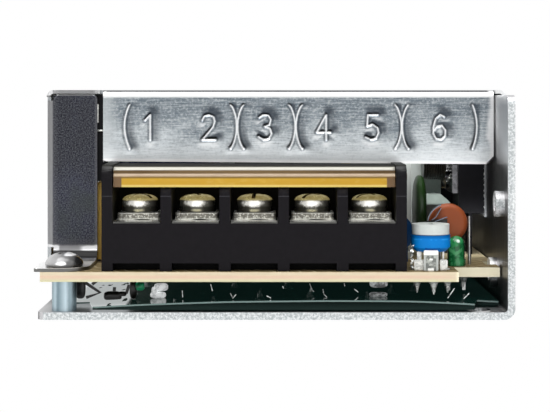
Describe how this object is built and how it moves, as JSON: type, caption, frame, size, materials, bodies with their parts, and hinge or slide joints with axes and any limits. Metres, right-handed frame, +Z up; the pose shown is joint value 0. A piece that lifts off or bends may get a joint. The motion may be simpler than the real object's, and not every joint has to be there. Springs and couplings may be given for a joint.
{
  "type": "mesh case switching power supply",
  "caption": "Flat open-front power supply in a perforated sheet metal case, with a black screw terminal block under a hinged amber cover, a trimmer and a green lamp at one end.",
  "frame": {"origin": "centre of the bounding box at the underside of the base sheet", "axes": "+X to the right seen from the terminal end, +Y from the terminals to the rear, +Z up; the tall side wall of the base is at +X"},
  "size_m": [0.0782, 0.11, 0.037],
  "materials": {
    "chassis_aluminium": "plain rolled sheet with sheared edges",
    "cover_steel": "zinc plated, fine grain along the width",
    "insulating_film": "smooth thin film",
    "board_laminate": "paper laminate with cut edges",
    "zinc_plating": "blue zinc",
    "bright_steel": "polished zinc",
    "block_plastic": "moulded, slightly satin",
    "tinned_metal": "tinned",
    "amber_plastic": "clear amber, moulded",
    "nickel_plating": "nickel with a warm tone",
    "trimmer_blue": "moulded",
    "trimmer_grey": "moulded",
    "lamp_green": "tinted clear resin",
    "ceramic_orange": "dipped",
    "dipped_green": "dipped resin",
    "box_yellow": "moulded box",
    "fuse_glass": "clear tube",
    "ferrite": "sintered",
    "copper_wire": "enamelled",
    "ceramic_dark": "dipped disc",
    "ceramic_blue": "dipped disc",
    "black_epoxy": "moulded package",
    "dark_sleeve": "shrink sleeve",
    "grey_sleeve": "shrink sleeve",
    "black_moulding": "phenolic",
    "yellow_tape": "wound tape",
    "grey_pad": "thin pad",
    "grey_moulding": "moulded",
    "dark_wire": "enamelled",
    "resistor_body": "lacquered",
    "solder": "solder"
  },
  "bodies": {
    "case": {"base_chassis": "chassis_aluminium", "mesh_cover": "cover_steel", "insulating_film": "insulating_film", "circuit_board": "board_laminate", "standoffs": "zinc_plating", "board_screws": "bright_steel", "cover_screws": "bright_steel", "terminal_block": "block_plastic", "terminal_plates": "tinned_metal", "trimmer_body": "trimmer_blue", "trimmer_legs": "tinned_metal", "status_lamp": "lamp_green", "lamp_leads": "tinned_metal", "disc_capacitor": "ceramic_orange", "disc_capacitor_leads": "tinned_metal", "film_capacitor": "dipped_green", "line_filter_capacitor": "box_yellow", "fuse_tube": "fuse_glass", "fuse_ends": "nickel_plating", "line_choke_core": "ferrite", "line_choke_windings": "copper_wire", "inrush_limiter": "ceramic_dark", "safety_capacitors": "ceramic_blue", "bridge_rectifier": "black_epoxy", "bulk_capacitor": "dark_sleeve", "transformer_core": "ferrite", "transformer_bobbin": "black_moulding", "transformer_winding": "yellow_tape", "switching_transistor": "black_epoxy", "output_rectifier": "black_epoxy", "insulator_pads": "grey_pad", "clamp_bars": "bright_steel", "output_choke_base": "grey_moulding", "output_choke_winding": "dark_wire", "output_capacitors": "grey_sleeve", "small_capacitors": "dark_sleeve", "controller_chip": "black_epoxy", "optocoupler": "black_epoxy", "resistors": "resistor_body", "solder_joints": "solder"},
    "terminal_cover": {"terminal_cover": "amber_plastic"},
    "trimmer_rotor": {"trimmer_rotor": "trimmer_grey"},
    "clamp_washer_1": {"clamp_washer_1": "nickel_plating"},
    "clamp_screw_1": {"clamp_screw_1": "nickel_plating"},
    "clamp_washer_2": {"clamp_washer_2": "nickel_plating"},
    "clamp_screw_2": {"clamp_screw_2": "nickel_plating"},
    "clamp_washer_3": {"clamp_washer_3": "nickel_plating"},
    "clamp_screw_3": {"clamp_screw_3": "nickel_plating"},
    "clamp_washer_4": {"clamp_washer_4": "nickel_plating"},
    "clamp_screw_4": {"clamp_screw_4": "nickel_plating"},
    "clamp_washer_5": {"clamp_washer_5": "nickel_plating"},
    "clamp_screw_5": {"clamp_screw_5": "nickel_plating"}
  },
  "joints": [
    {"name": "terminal_cover_hinge", "type": "hinge", "parent": "case", "child": "terminal_cover", "pos_m": [0, -0.043, 0.0224], "axis": [-1, 0, 0], "range_deg": [0, 92]},
    {"name": "trimmer_turn", "type": "hinge", "parent": "case", "child": "trimmer_rotor", "pos_m": [0.0251, -0.051, 0.0135], "axis": [0, 0, 1], "range_deg": [-105, 105]},
    {"name": "clamp_lift_1", "type": "slide", "parent": "case", "child": "clamp_washer_1", "axis": [0, 0, 1], "range_m": [0, 0.002]},
    {"name": "clamp_turn_1", "type": "hinge", "parent": "clamp_washer_1", "child": "clamp_screw_1", "pos_m": [-0.0226, -0.0465, 0.0169], "axis": [0, 0, 1], "range_deg": [0, 1200]},
    {"name": "clamp_lift_2", "type": "slide", "parent": "case", "child": "clamp_washer_2", "axis": [0, 0, 1], "range_m": [0, 0.002]},
    {"name": "clamp_turn_2", "type": "hinge", "parent": "clamp_washer_2", "child": "clamp_screw_2", "pos_m": [-0.0131, -0.0465, 0.0169], "axis": [0, 0, 1], "range_deg": [0, 1200]},
    {"name": "clamp_lift_3", "type": "slide", "parent": "case", "child": "clamp_washer_3", "axis": [0, 0, 1], "range_m": [0, 0.002]},
    {"name": "clamp_turn_3", "type": "hinge", "parent": "clamp_washer_3", "child": "clamp_screw_3", "pos_m": [-0.0036, -0.0465, 0.0169], "axis": [0, 0, 1], "range_deg": [0, 1200]},
    {"name": "clamp_lift_4", "type": "slide", "parent": "case", "child": "clamp_washer_4", "axis": [0, 0, 1], "range_m": [0, 0.002]},
    {"name": "clamp_turn_4", "type": "hinge", "parent": "clamp_washer_4", "child": "clamp_screw_4", "pos_m": [0.0059, -0.0465, 0.0169], "axis": [0, 0, 1], "range_deg": [0, 1200]},
    {"name": "clamp_lift_5", "type": "slide", "parent": "case", "child": "clamp_washer_5", "axis": [0, 0, 1], "range_m": [0, 0.002]},
    {"name": "clamp_turn_5", "type": "hinge", "parent": "clamp_washer_5", "child": "clamp_screw_5", "pos_m": [0.0154, -0.0465, 0.0169], "axis": [0, 0, 1], "range_deg": [0, 1200]}
  ],
  "couplings": [
    {"joint": "clamp_turn_1", "follows": "clamp_lift_1", "rad_per_m": 10472},
    {"joint": "clamp_turn_2", "follows": "clamp_lift_2", "rad_per_m": 10472},
    {"joint": "clamp_turn_3", "follows": "clamp_lift_3", "rad_per_m": 10472},
    {"joint": "clamp_turn_4", "follows": "clamp_lift_4", "rad_per_m": 10472},
    {"joint": "clamp_turn_5", "follows": "clamp_lift_5", "rad_per_m": 10472}
  ]
}
